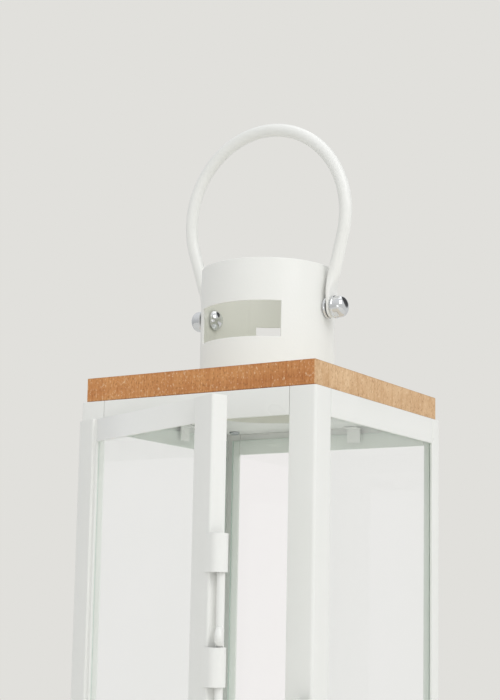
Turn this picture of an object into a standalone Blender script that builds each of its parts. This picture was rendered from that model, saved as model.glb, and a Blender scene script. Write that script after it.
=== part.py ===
"""Candle lantern with a timber top, a vented chimney, a swinging bail and a glazed door.

A square frame of white painted angle steel carries three fixed panes and a hinged door on its
front, which a sliding wire bolt holds shut.  Units are metres and +Z is up.  The origin is the
centre of the base, on the surface that the lantern stands on; the door side faces -Y.
"""
import math

import bmesh
import bpy
from mathutils import Matrix, Vector

# ---- driving dimensions ---------------------------------------------------------------------
MM = 0.001
GAP = 0.0003                    # clearance between pieces that touch

FRAME_SIDE = 0.154              # outside of the corner posts
FRAME_HEIGHT = 0.286            # base to the underside of the timber top
LEG = 0.016                     # legs of the front posts' angle section
REAR_LEG = 0.011                # and of the rear posts'
SHEET = 0.0015                  # wall of the angle sections
CORNER_RADIUS = 0.0016          # outer bend of a corner post
RAIL_HEIGHT = 0.015
RAIL_FLANGE = 0.010             # bottom rails only
PLATE = 0.0012                  # base and ceiling sheets

WOOD_SIDE = 0.150
WOOD_THICK = 0.014

CHIMNEY_RADIUS = 0.040
CHIMNEY_WALL = 0.0012
CHIMNEY_RIM = 0.0837            # heights above the timber's underside
SLOT_BOTTOM = 0.0379
SLOT_TOP = 0.0586
SLOT_HALF_WIDTH = 0.0268
SCREW_SPACING = 0.062           # from the middle to each screw that holds the board, in X and Y
SCREW_RADIUS = 0.0016
SCREW_TIP = 0.010               # height of the wood screws' tips above the timber's underside
SCREW_HEAD = 0.0034             # radius of their pan heads

PIVOT_HEIGHT = 0.0587           # bail pivot, above the timber's underside
BAIL_LEAN = math.radians(4.0)   # the bail rests a little forward of upright
BAIL_TUBE = 0.0075
BAIL_BEND = 0.0538              # radius of the bail's round top, to the tube's centre
BAIL_BEND_HEIGHT = 0.116        # centre of that bend, above the timber's underside
TAB_X = 0.0433                  # centre of the flattened tabs
TAB_THICK = 0.0026
TAB_WIDTH = 0.012
TAB_BLEND = 0.014               # length over which the flat tab becomes the round tube
THREAD_RADIUS = 0.0029          # pivot bolts
BOLT_HEAD = 0.0062
NUT_RADIUS = 0.0066
NUT_LENGTH = 0.0082
WASHER_RADIUS = 0.0064

PANE = 0.002
PANE_HALF = 0.0705
PANE_BOTTOM = 0.0036
PANE_TOP = 0.2802
CLIP_WIDTH = 0.009              # bent clips that hold the panes
CLIP_SHEET = 0.0008
CLIP_SPACING = {"right": 0.0225, "back": 0.019, "left": 0.0225}    # pane's middle to upper clips

DOOR_OPEN = math.radians(23.5)  # how far the door stands open at rest
DOOR_HALF = 0.069
DOOR_FRONT = -0.087             # front and back of the shut door
DOOR_BACK = -0.078
DOOR_TOP = FRAME_HEIGHT - 0.0126
DOOR_BOTTOM = 0.0126
STILE = 0.016
RAIL_RECESS = 0.0018            # the door's rails lie this far behind its stiles
LIP = 0.002                     # glazing lip along each stile
DOOR_RAIL = 0.0125
DOOR_CLIP_X = 0.028

PIN_X = -0.0668                 # door hinge pins
PIN_Y = -0.081
PIN_RADIUS = 0.0012
KNUCKLE_RADIUS = 0.0023
KNUCKLE = 0.009
NOTCH = 0.008                   # room in the hinge stile for the knuckles
HINGE_LEAF = 0.0012             # sheet of the hinge leaves
HINGE_HEIGHTS = {"lower": 0.070, "upper": 0.216}

BOLT_OUT = 0.0034               # latch wire: out from the door's free edge
BOLT_IN = 0.0049                # and back from its front
BOLT_RADIUS = 0.002
BOLT_TOP = FRAME_HEIGHT - 0.083
BOLT_TIP = FRAME_HEIGHT - 0.175
SLEEVE = 0.0186
SLEEVE_CENTRES = {"upper": FRAME_HEIGHT - 0.0894, "lower": FRAME_HEIGHT - 0.1433}
KEEPER_TOP = FRAME_HEIGHT - 0.160
LOOP_RADIUS = 0.0043            # sleeves, to the middle of the strap
KEEPER_RADIUS = 0.0035
STRAP = 0.0008
LUG = (0.0044, 0.0023, 0.0046)  # half sizes of the bolt's thumb lug
LUG_TURN = math.radians(-38)
EASED = 0.0003                  # small rounding of cut sheet and turned edges

HALF = FRAME_SIDE / 2
CEILING = FRAME_HEIGHT - GAP - PLATE    # underside of the ceiling sheet
PIVOT_Z = FRAME_HEIGHT + PIVOT_HEIGHT

# ---- scene and collections ------------------------------------------------------------------
for old in list(bpy.data.objects):
    bpy.data.objects.remove(old, do_unlink=True)

PARTS = bpy.data.collections.new("candle_lantern")
CUTTERS = bpy.data.collections.new("cutters")
for collection in (PARTS, CUTTERS):
    bpy.context.scene.collection.children.link(collection)


def material(name, colour, roughness, metallic=0.0, alpha=1.0):
    """A Principled material from an RGB colour."""
    made = bpy.data.materials.new(name)
    made.use_nodes = True
    shader = made.node_tree.nodes["Principled BSDF"]
    shader.inputs["Base Color"].default_value = (*colour, 1.0)
    shader.inputs["Roughness"].default_value = roughness
    shader.inputs["Metallic"].default_value = metallic
    shader.inputs["Alpha"].default_value = alpha
    return made


WHITE = material("white_powder_coat", (0.86, 0.86, 0.84), 0.38)
WOOD = material("stained_board", (0.50, 0.24, 0.09), 0.62)
CHROME = material("bright_chrome", (0.82, 0.82, 0.82), 0.12, metallic=1.0)
GLASS = material("clear_glass", (0.90, 0.95, 0.93), 0.03, alpha=0.25)
STEEL = material("zinc_steel", (0.60, 0.60, 0.58), 0.35, metallic=1.0)


# ---- shared modelling steps -----------------------------------------------------------------
def file_in(obj, name, finish):
    """Names an object, gives it its material and moves it into the lantern's collection."""
    obj.name = name
    obj.data.materials.clear()
    obj.data.materials.append(finish)
    for collection in list(obj.users_collection):
        collection.objects.unlink(obj)
    PARTS.objects.link(obj)
    return obj


def as_cutter(obj):
    """Makes an object a hidden Boolean operand."""
    for collection in list(obj.users_collection):
        collection.objects.unlink(obj)
    CUTTERS.objects.link(obj)
    obj.hide_render = True
    obj.display_type = "WIRE"
    return obj


def boolean(target, operand, operation):
    """Adds a live Boolean of an operand to a part."""
    step = target.modifiers.new(operation.lower(), "BOOLEAN")
    step.operation = operation
    step.solver = "EXACT"
    step.object = operand


def smooth(obj, angle=35.0):
    """Smooth shading up to a crease angle."""
    obj.data.shade_smooth()
    obj.data.set_sharp_from_angle(angle=math.radians(angle))


def plain_box(low, high):
    """An axis-aligned box between two corners, from the cube primitive."""
    low = Vector(low)
    high = Vector(high)
    bpy.ops.mesh.primitive_cube_add(size=1.0, location=(low + high) / 2)
    obj = bpy.context.object
    obj.data.transform(Matrix.Diagonal((*(high - low), 1.0)))
    return obj


def box(name, low, high, finish, edge=0.0):
    """A box part, with its edges eased by a Bevel."""
    obj = file_in(plain_box(low, high), name, finish)
    if edge:
        ease = obj.modifiers.new("edges", "BEVEL")
        ease.width = edge
        ease.segments = 2
        ease.limit_method = "ANGLE"
    return obj


def rod(start, end, radius, sides=20):
    """A cylinder between two points, from the cylinder primitive."""
    start = Vector(start)
    end = Vector(end)
    along = end - start
    bpy.ops.mesh.primitive_cylinder_add(
        vertices=sides, radius=radius, depth=along.length, location=(start + end) / 2,
        rotation=along.to_track_quat("Z", "Y").to_euler())
    obj = bpy.context.object
    smooth(obj)
    return obj


def outline_solid(name, outline, length, finish, place=None, hole=None):
    """A flat outline, with or without a hole, extruded along local +Z and put in place by a matrix.

    The outline is a filled 2D curve, drawn in millimetres because the fill drops details finer
    than its own tolerance; it is made a welded mesh in metres so that it can be cut."""
    curve = bpy.data.curves.new(name, "CURVE")
    curve.dimensions = "2D"
    curve.fill_mode = "BOTH"
    curve.extrude = length / 2 / MM
    for loop in (outline, hole) if hole else (outline,):
        spline = curve.splines.new("POLY")
        spline.points.add(len(loop) - 1)
        for point, (x, y) in zip(spline.points, loop):
            point.co = (x / MM, y / MM, 0.0, 1.0)
        spline.use_cyclic_u = True
    source = bpy.data.objects.new(name + "_curve", curve)
    bpy.context.scene.collection.objects.link(source)
    graph = bpy.context.evaluated_depsgraph_get()
    mesh = bpy.data.meshes.new_from_object(source.evaluated_get(graph))
    bpy.data.objects.remove(source, do_unlink=True)
    work = bmesh.new()
    work.from_mesh(mesh)
    bmesh.ops.scale(work, vec=(MM, MM, MM), verts=work.verts)
    bmesh.ops.remove_doubles(work, verts=work.verts, dist=1e-6)
    bmesh.ops.recalc_face_normals(work, faces=work.faces)
    work.to_mesh(mesh)
    work.free()
    mesh.transform(Matrix.Translation((0.0, 0.0, length / 2)))
    if place is not None:
        mesh.transform(place)
    obj = bpy.data.objects.new(name, mesh)
    bpy.context.scene.collection.objects.link(obj)
    file_in(obj, name, finish)
    smooth(obj)
    return obj


def arc(centre, radius, start, end, steps):
    """Points on an arc, with its angles in degrees."""
    points = []
    for i in range(steps + 1):
        angle = math.radians(start + (end - start) * i / steps)
        points.append((centre[0] + radius * math.cos(angle), centre[1] + radius * math.sin(angle)))
    return points


def strip_outline(path, thick):
    """The outline of a strap that follows a path, half its thickness to each side."""
    left = []
    right = []
    for i, point in enumerate(path):
        before = Vector(path[max(i - 1, 0)])
        after = Vector(path[min(i + 1, len(path) - 1)])
        along = (after - before).normalized()
        aside = Vector((-along.y, along.x)) * thick / 2
        left.append(tuple(Vector(point) + aside))
        right.append(tuple(Vector(point) - aside))
    return left + right[::-1]


def turned(name, profile, finish, place, steps=24):
    """A turned solid: a radius and height profile, top to bottom, spun round local Z.

    Profile points on the axis close the solid's ends."""
    mesh = bpy.data.meshes.new(name)
    work = bmesh.new()
    points = [work.verts.new((radius, 0.0, height)) for radius, height in profile]
    for first, second in zip(points, points[1:]):
        work.edges.new((first, second))
    if profile[0][0] > 0.0:
        work.edges.new((points[-1], points[0]))
    work.to_mesh(mesh)
    work.free()
    obj = bpy.data.objects.new(name, mesh)
    bpy.context.scene.collection.objects.link(obj)
    file_in(obj, name, finish)
    spin = obj.modifiers.new("spin", "SCREW")
    spin.steps = steps
    spin.render_steps = steps
    spin.use_merge_vertices = True
    spin.merge_threshold = 0.00001
    obj.matrix_world = place
    return obj


def hang(pieces, axis):
    """Parents pieces to a joint's empty and leaves them where they are."""
    for piece in pieces:
        piece.parent = axis
        piece.matrix_parent_inverse = Matrix.Translation(axis.location).inverted()


def joint_empty(name, location):
    """An empty on a joint's axis."""
    empty = bpy.data.objects.new(name, None)
    empty.empty_display_size = 0.02
    empty.location = location
    PARTS.objects.link(empty)
    return empty


# ---- frame ----------------------------------------------------------------------------------
def corner_posts():
    """Four angle-section posts with a bent outer corner; the rear ones have narrower legs."""
    bend = arc((HALF - CORNER_RADIUS, HALF - CORNER_RADIUS), CORNER_RADIUS, 0, 90, 4)
    for name, turn, leg in (("back_right", 0, REAR_LEG), ("back_left", 90, REAR_LEG),
                            ("front_left", 180, LEG), ("front_right", 270, LEG)):
        inside = HALF - leg
        outline = [(HALF, inside)] + bend
        outline += [(inside, HALF), (inside, HALF - SHEET), (HALF - SHEET, HALF - SHEET)]
        outline += [(HALF - SHEET, inside)]
        place = Matrix.Rotation(math.radians(turn), 4, "Z")
        outline_solid("corner_post_" + name, outline, FRAME_HEIGHT, WHITE, place)


def rails():
    """Flat top rails, and angle-section bottom rails with their flanges turned inwards."""
    front = HALF - LEG - GAP
    rear = HALF - REAR_LEG - GAP
    flat = [(0.0, 0.0), (0.0, RAIL_HEIGHT), (-SHEET, RAIL_HEIGHT), (-SHEET, 0.0)]
    lift = PLATE + GAP
    angle = [(0.0, 0.0), (0.0, RAIL_HEIGHT), (-SHEET, RAIL_HEIGHT), (-SHEET, lift + SHEET)]
    angle += [(-RAIL_FLANGE, lift + SHEET), (-RAIL_FLANGE, lift), (-SHEET, lift), (-SHEET, 0.0)]
    stand = Matrix.Rotation(math.radians(90), 4, "X")
    for side, turn, low, high in (("right", 0, -front, rear), ("back", 90, -rear, rear),
                                  ("left", 180, -rear, front), ("front", 270, -front, front)):
        spin = Matrix.Rotation(math.radians(turn), 4, "Z")
        for row, outline, height in (("top", flat, FRAME_HEIGHT - RAIL_HEIGHT), ("bottom", angle, 0.0)):
            place = spin @ Matrix.Translation((HALF, high, height)) @ stand
            outline_solid(row + "_rail_" + side, outline, high - low, WHITE, place)


def plates_and_board():
    """The base sheet, the ceiling sheet and the timber top, with the chimney's hole.

    Four screws go up through the ceiling sheet into the board, near its corners."""
    inner = HALF - SHEET - GAP
    box("base_plate", (-inner, -inner, 0.0), (inner, inner, PLATE), WHITE)
    ceiling = box("ceiling_plate", (-inner, -inner, CEILING), (inner, inner, CEILING + PLATE), WHITE)
    half = WOOD_SIDE / 2
    board = box("timber_top", (-half, -half, FRAME_HEIGHT + GAP),
                (half, half, FRAME_HEIGHT + WOOD_THICK), WOOD, edge=0.0004)
    hole = as_cutter(rod((0, 0, FRAME_HEIGHT - 0.01), (0, 0, FRAME_HEIGHT + 0.03),
                         CHIMNEY_RADIUS + 2 * GAP, sides=64))
    for sheet in (ceiling, board):
        boolean(sheet, hole, "DIFFERENCE")
    tip = FRAME_HEIGHT + SCREW_TIP
    head = CEILING - GAP
    for i, (x, y) in enumerate(((1, 1), (-1, 1), (-1, -1), (1, -1))):
        x *= SCREW_SPACING
        y *= SCREW_SPACING
        pilot = as_cutter(rod((x, y, CEILING - PLATE), (x, y, tip + GAP), SCREW_RADIUS + GAP, sides=16))
        for sheet in (ceiling, board):
            boolean(sheet, pilot, "DIFFERENCE")
        screw = [(0.0, tip), (SCREW_RADIUS, tip - 0.0025), (SCREW_RADIUS, head), (SCREW_HEAD, head)]
        screw += [(SCREW_HEAD - 0.0002, head - 0.0008), (SCREW_HEAD - 0.0012, head - 0.0015)]
        screw.append((0.0, head - 0.0018))
        turned("board_screw_" + str(i + 1), screw, STEEL, Matrix.Translation((x, y, 0)), steps=16)


# ---- chimney --------------------------------------------------------------------------------
def chimney():
    """A rolled sheet tube, welded to the ceiling sheet, with two vent slots and the bail's bores."""
    inner = CHIMNEY_RADIUS - CHIMNEY_WALL
    rim = FRAME_HEIGHT + CHIMNEY_RIM
    profile = [(CHIMNEY_RADIUS - EASED, rim), (CHIMNEY_RADIUS, rim - EASED)]
    profile += [(CHIMNEY_RADIUS, CEILING), (inner, CEILING), (inner, rim - EASED), (inner + EASED, rim)]
    tube = turned("chimney", profile, WHITE, Matrix.Identity(4), steps=64)
    past = CHIMNEY_RADIUS + 0.01
    slot = plain_box((-SLOT_HALF_WIDTH, -past, FRAME_HEIGHT + SLOT_BOTTOM),
                     (SLOT_HALF_WIDTH, past, FRAME_HEIGHT + SLOT_TOP))
    boolean(tube, as_cutter(slot), "DIFFERENCE")
    bore = rod((-past, 0, PIVOT_Z), (past, 0, PIVOT_Z), THREAD_RADIUS + GAP)
    boolean(tube, as_cutter(bore), "DIFFERENCE")


# ---- bail and its pivots --------------------------------------------------------------------
def bail_path():
    """Centre points of the bail in the XZ plane, from one tab's foot to the other's.

    Straight upright tabs, a short curved knee, straight legs that meet the round top at a
    tangent, and the top's arc."""
    bend = Vector((0.0, FRAME_HEIGHT + BAIL_BEND_HEIGHT))
    foot = Vector((TAB_X, PIVOT_Z - TAB_WIDTH / 2))
    low = Vector((TAB_X, PIVOT_Z + 0.0075))
    knee = Vector((TAB_X, PIVOT_Z + 0.0125))
    offset = knee - bend
    turn = math.atan2(offset.y, offset.x) + math.acos(BAIL_BEND / offset.length)
    tangent = bend + Vector((math.cos(turn), math.sin(turn))) * BAIL_BEND
    high = knee + (tangent - knee).normalized() * 0.006
    right = [foot + (low - foot) * t for t in (0.0, 0.015, 0.06, 0.14, 0.25, 0.4, 0.6, 0.8)]
    for i in range(6):
        t = i / 6
        right.append(low * (1 - t) ** 2 + knee * 2 * t * (1 - t) + high * t ** 2)
    right += [high + (tangent - high) * t for t in (0.0, 0.2, 0.45, 0.7, 0.9)]
    steps = 14
    for i in range(steps + 1):
        angle = turn + (math.pi / 2 - turn) * i / steps
        right.append(bend + Vector((math.cos(angle), math.sin(angle))) * BAIL_BEND)
    left = [Vector((-point.x, point.y)) for point in right[:-1]]
    return right + left[::-1]


def ease(t):
    """A smooth step from 0 to 1."""
    t = min(max(t, 0.0), 1.0)
    return t * t * (3 - 2 * t)


def bail_ring(point, along, foot, sides):
    """One cross-section of the bail: a circle, or near its ends a flat section with round edges.

    Below the bolt the tab's width follows a half circle, which gives it a round end."""
    outward = Vector((-along.y, along.x))
    flat = 1.0 - ease((point.y - PIVOT_Z - TAB_WIDTH * 0.58) / TAB_BLEND)
    thin = (BAIL_TUBE + (TAB_THICK - BAIL_TUBE) * flat) / 2
    wide = (BAIL_TUBE + (TAB_WIDTH - BAIL_TUBE) * flat) / 2
    if point.y < PIVOT_Z:
        rise = max(point.y - foot, 0.00005)
        wide = math.sqrt(rise * (TAB_WIDTH - rise))
    ring = []
    for k in range(sides):
        angle = 2 * math.pi * (k + 0.5) / sides
        c = math.cos(angle)
        s = math.sin(angle)
        across = thin * math.copysign(abs(c) ** (1.0 - 0.62 * flat), c)
        depth = wide * math.copysign(abs(s) ** (1.0 - 0.25 * flat), s)
        spot = point + outward * across
        ring.append((spot.x, depth, spot.y))
    return ring


def bail():
    """A bent tube whose ends are pressed flat into round-ended tabs with a bolt hole.

    The sections run from a flat tab to a circle, so they are lofted ring by ring."""
    path = bail_path()
    sides = 14
    work = bmesh.new()
    rings = []
    for i, point in enumerate(path):
        along = (path[min(i + 1, len(path) - 1)] - path[max(i - 1, 0)]).normalized()
        rings.append([work.verts.new(spot) for spot in bail_ring(point, along, path[0].y, sides)])
    for first, second in zip(rings, rings[1:]):
        for k in range(sides):
            m = (k + 1) % sides
            work.faces.new((first[k], first[m], second[m], second[k]))
    work.faces.new(rings[0][::-1])
    work.faces.new(rings[-1])
    bmesh.ops.recalc_face_normals(work, faces=work.faces)
    mesh = bpy.data.meshes.new("bail")
    work.to_mesh(mesh)
    work.free()
    obj = bpy.data.objects.new("bail", mesh)
    bpy.context.scene.collection.objects.link(obj)
    file_in(obj, "bail", WHITE)
    smooth(obj, 50)
    past = TAB_X + 0.01
    bore = as_cutter(rod((-past, 0, PIVOT_Z), (past, 0, PIVOT_Z), THREAD_RADIUS + GAP + 0.0002))
    boolean(obj, bore, "DIFFERENCE")
    axis = joint_empty("bail_axis", (0.0, 0.0, PIVOT_Z))
    hang([obj, bore], axis)
    axis.rotation_euler.x = BAIL_LEAN


def pivots():
    """On each side a dome-head bolt from inside, a washer, and a domed cap nut."""
    thread = THREAD_RADIUS + GAP
    for side, turn in (("right", 90), ("left", -90)):
        place = Matrix.Translation((0, 0, PIVOT_Z)) @ Matrix.Rotation(math.radians(turn), 4, "Y")
        seat = CHIMNEY_RADIUS - CHIMNEY_WALL - 0.0009
        tip = TAB_X + 0.0065
        bolt = [(0.0, tip), (THREAD_RADIUS - 0.0005, tip), (THREAD_RADIUS, tip - 0.0005)]
        bolt += [(THREAD_RADIUS, seat), (BOLT_HEAD, seat), (BOLT_HEAD - 0.0002, seat - 0.0012)]
        bolt += [(BOLT_HEAD - 0.0016, seat - 0.0029), (BOLT_HEAD - 0.0038, seat - 0.0038)]
        bolt.append((0.0, seat - 0.0041))
        turned("pivot_bolt_" + side, bolt, CHROME, place)
        low = CHIMNEY_RADIUS + 0.0002
        high = TAB_X - TAB_THICK / 2 - GAP
        ring = [(WASHER_RADIUS - 2 * EASED, high), (WASHER_RADIUS, high - EASED)]
        ring += [(WASHER_RADIUS, low), (thread, low), (thread, high)]
        turned("pivot_washer_" + side, ring, CHROME, place)
        seat = TAB_X + TAB_THICK / 2 + GAP
        top = seat + NUT_LENGTH
        blind = seat + 0.0055
        cap = [(0.0, top), (NUT_RADIUS - 0.0041, top - EASED), (NUT_RADIUS - 0.0020, top - 0.0013)]
        cap += [(NUT_RADIUS - 0.0006, top - 0.0028), (NUT_RADIUS, top - 0.0044), (NUT_RADIUS, seat)]
        cap += [(thread, seat), (thread, blind), (0.0, blind)]
        turned("cap_nut_" + side, cap, CHROME, place)


# ---- fixed glazing --------------------------------------------------------------------------
def fixed_panes():
    """Three fixed panes inside the posts, each held by two clips above and one below."""
    outer = HALF - SHEET - GAP
    inner = outer - PANE
    drop = 0.0095
    reach = 0.0062
    tab = [(0.0, 0.0), (0.0, -drop), (-CLIP_SHEET, -drop), (-CLIP_SHEET, -CLIP_SHEET)]
    tab += [(-reach, -CLIP_SHEET), (-reach, 0.0)]
    foot = [(x, -y) for x, y in tab][::-1]
    stand = Matrix.Rotation(math.radians(90), 4, "X")
    top = CEILING - GAP
    floor = PLATE + SHEET + 3 * GAP
    for side, turn in (("right", 0), ("back", 90), ("left", 180)):
        spin = Matrix.Rotation(math.radians(turn), 4, "Z")
        pane = box("pane_" + side, (inner, -PANE_HALF, PANE_BOTTOM), (outer, PANE_HALF, PANE_TOP), GLASS)
        pane.matrix_world = spin @ pane.matrix_world
        spacing = CLIP_SPACING[side]
        for label, centre, outline, height in (("a", -spacing, tab, top), ("b", spacing, tab, top),
                                               ("base", 0.0, foot, floor)):
            place = spin @ Matrix.Translation((inner - GAP, centre + CLIP_WIDTH / 2, height)) @ stand
            outline_solid("pane_clip_" + side + "_" + label, outline, CLIP_WIDTH, WHITE, place)


# ---- door -----------------------------------------------------------------------------------
def door_stiles():
    """Two uprights, each with a thin glazing lip behind its front face."""
    height = DOOR_TOP - DOOR_BOTTOM
    inner = DOOR_HALF - STILE
    lip_front = DOOR_FRONT + RAIL_RECESS
    lip_back = lip_front + SHEET
    bend = 0.0012
    outline = [(inner, DOOR_BACK), (inner, lip_back), (inner - LIP, lip_back), (inner - LIP, lip_front)]
    outline += [(inner, lip_front), (inner, DOOR_FRONT + bend / 2), (inner + bend / 2, DOOR_FRONT)]
    outline += arc((DOOR_HALF - bend, DOOR_FRONT + bend), bend, -90, 0, 4)
    outline += arc((DOOR_HALF - bend, DOOR_BACK - bend), bend, 0, 90, 3)
    made = []
    for name, mirror in (("door_stile_free", 1), ("door_stile_hinge", -1)):
        points = [(mirror * x, y) for x, y in outline]
        if mirror < 0:
            points.reverse()
        place = Matrix.Translation((0, 0, DOOR_BOTTOM))
        made.append(outline_solid(name, points, height, WHITE, place))
    room = KNUCKLE + 0.001
    for centre in HINGE_HEIGHTS.values():
        notch = plain_box((-DOOR_HALF - LIP, DOOR_FRONT + 0.0032, centre - room),
                          (-DOOR_HALF + NOTCH, DOOR_BACK + LIP, centre + room))
        boolean(made[1], as_cutter(notch), "DIFFERENCE")
        made.append(notch)
    return made


def door_rails_and_pane():
    """Flat rails between the stiles, and the pane that clips hold behind them and the lips."""
    front = DOOR_FRONT + RAIL_RECESS
    back = front + SHEET
    reach = DOOR_HALF - STILE - LIP - GAP
    made = [
        box("door_rail_top", (-reach, front, DOOR_TOP - DOOR_RAIL), (reach, back, DOOR_TOP), WHITE),
        box("door_rail_bottom", (-reach, front, DOOR_BOTTOM), (reach, back, DOOR_BOTTOM + DOOR_RAIL),
            WHITE),
    ]
    side = DOOR_HALF - STILE - GAP
    rebate = 0.0045
    seat = back + GAP
    low = DOOR_BOTTOM + rebate
    high = DOOR_TOP - rebate
    made.append(box("door_pane", (-side, seat, low), (side, seat + PANE, high), GLASS))
    step = PANE + 2 * GAP
    upper = -0.0034
    drop = -0.0102
    clip = [(0.0, 0.0), (0.0, upper - CLIP_SHEET), (step, upper - CLIP_SHEET), (step, drop)]
    clip += [(step + CLIP_SHEET, drop), (step + CLIP_SHEET, upper), (CLIP_SHEET, upper)]
    clip.append((CLIP_SHEET, 0.0))
    swing = Matrix.Rotation(math.radians(90), 4, "Z") @ Matrix.Rotation(math.radians(90), 4, "X")
    for label, x in (("left", -DOOR_CLIP_X), ("right", DOOR_CLIP_X)):
        for row, edge, flip in (("top", DOOR_TOP - GAP, 1), ("bottom", DOOR_BOTTOM + GAP, -1)):
            points = [(a, b * flip) for a, b in clip]
            if flip > 0:
                points.reverse()
            place = Matrix.Translation((x - CLIP_WIDTH / 2, seat, edge)) @ swing
            made.append(outline_solid("door_clip_" + row + "_" + label, points, CLIP_WIDTH, WHITE,
                                      place))
    return made


def door_hinges():
    """Two pin hinges in the notches of the hinge stile: one knuckle on the post, one on the door."""
    moving = []
    bore = arc((0.0, 0.0), PIN_RADIUS + 0.00018, 0, 360, 20)[:-1]
    half = HINGE_LEAF / 2
    post_face = -HALF - GAP - PIN_Y
    pad = post_face - STRAP
    near = -0.0028
    far = 0.0050
    neck = math.degrees(math.asin(half / KNUCKLE_RADIUS))
    foot = arc((0.0, 0.0), KNUCKLE_RADIUS, 90 + neck, 450 - neck, 18)
    foot += [(half, pad), (far, pad), (far, post_face), (near, post_face), (near, pad), (-half, pad)]
    leaf_end = -DOOR_HALF + NOTCH - GAP - PIN_X
    low_side = math.degrees(math.asin(-HINGE_LEAF / KNUCKLE_RADIUS))
    leaf = arc((0.0, 0.0), KNUCKLE_RADIUS, 0, 360 + low_side, 18)
    leaf += [(leaf_end, -HINGE_LEAF), (leaf_end, 0.0)]
    play = GAP / 2
    for row, centre in HINGE_HEIGHTS.items():
        for owner, outline, low in (("frame", foot, centre - KNUCKLE), ("door", leaf, centre + play)):
            place = Matrix.Translation((PIN_X, PIN_Y, low))
            barrel = outline_solid("hinge_" + row + "_" + owner, outline, KNUCKLE - play, WHITE,
                                   place, hole=bore)
            if owner == "door":
                moving.append(barrel)
        cap = centre + KNUCKLE + 0.0002
        pin = [(0.0, cap + 0.0007), (PIN_RADIUS + 0.0002, cap + 0.0006), (PIN_RADIUS + 0.0006, cap)]
        pin += [(PIN_RADIUS, cap), (PIN_RADIUS, centre - KNUCKLE - 0.0004)]
        pin.append((0.0, centre - KNUCKLE - 0.0007))
        turned("hinge_pin_" + row, pin, STEEL, Matrix.Translation((PIN_X, PIN_Y, 0)), steps=20)
    return moving


def latch_sleeves():
    """Two bent straps on the door's free edge: a flat foot, a half-round nose, a return leg."""
    nose_x = DOOR_HALF + 0.0026
    nose_y = DOOR_FRONT - STRAP / 2 - GAP + LOOP_RADIUS
    path = [(-0.0056, -LOOP_RADIUS)] + arc((0.0, 0.0), LOOP_RADIUS, -90, 90, 12)
    path.append((-0.0023, LOOP_RADIUS))
    outline = strip_outline(path, STRAP)
    made = []
    for row, centre in SLEEVE_CENTRES.items():
        place = Matrix.Translation((nose_x, nose_y, centre - SLEEVE / 2))
        made.append(outline_solid("latch_sleeve_" + row, outline, SLEEVE, WHITE, place))
    return made


def latch_bolt():
    """The sliding wire with a flattened thumb lug, which rests on the lower sleeve."""
    x = DOOR_HALF + BOLT_OUT
    y = DOOR_FRONT + BOLT_IN
    profile = [(0.0, BOLT_TOP), (BOLT_RADIUS - 0.0005, BOLT_TOP), (BOLT_RADIUS, BOLT_TOP - 0.0005)]
    profile += [(BOLT_RADIUS, BOLT_TIP + 0.0015), (BOLT_RADIUS - 0.0008, BOLT_TIP + EASED)]
    profile.append((0.0, BOLT_TIP))
    wire = turned("latch_bolt", profile, WHITE, Matrix.Translation((x, y, 0)), steps=16)
    bpy.ops.mesh.primitive_uv_sphere_add(segments=16, ring_count=10, radius=1.0)
    lug = bpy.context.object
    lug.data.transform(Matrix.Diagonal((*LUG, 1.0)))
    out = Matrix.Rotation(LUG_TURN, 4, "Z")
    lug.data.transform(out @ Matrix.Translation((0.0036, 0.0, 0.0)))
    lug.location = (x, y, SLEEVE_CENTRES["lower"] + SLEEVE / 2 + GAP + LUG[2])
    boolean(wire, as_cutter(lug), "UNION")
    return wire, lug


def keeper():
    """A U-shaped strap on the front right post, which the latch wire drops into."""
    x = DOOR_HALF + GAP + STRAP / 2 + KEEPER_RADIUS
    y = DOOR_FRONT + BOLT_IN
    back = -HALF - GAP - y
    path = [(-KEEPER_RADIUS, back), (-KEEPER_RADIUS, back / 2)]
    path += arc((0.0, 0.0), KEEPER_RADIUS, 180, 360, 14)
    path += [(KEEPER_RADIUS, back / 2), (KEEPER_RADIUS, back)]
    place = Matrix.Translation((x, y, KEEPER_TOP - SLEEVE))
    outline_solid("latch_keeper", strip_outline(path, STRAP), SLEEVE, WHITE, place)


def door():
    """Assembles the door shut, hangs it on the hinge axis and turns it to its open rest."""
    pieces = door_stiles() + door_rails_and_pane() + door_hinges() + latch_sleeves()
    wire, lug = latch_bolt()
    axis = joint_empty("door_axis", (PIN_X, PIN_Y, 0.0))
    slide = joint_empty("latch_axis", (DOOR_HALF + BOLT_OUT, DOOR_FRONT + BOLT_IN, 0.0))
    hang([wire, lug], slide)
    hang(pieces + [slide], axis)
    axis.rotation_euler.z = -DOOR_OPEN


corner_posts()
rails()
plates_and_board()
chimney()
bail()
pivots()
fixed_panes()
door()
keeper()
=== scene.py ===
"""Candle lantern: white powder-coated steel frame, timber top, vented chimney, glazed door.

The pieces are built in the order the lantern is put together, in metres, +Z up, with the door
side facing -Y.  Each section holds one piece or one group of like pieces."""
import math

import bmesh
import bpy
import numpy as np
from mathutils import Matrix, Vector


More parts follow.
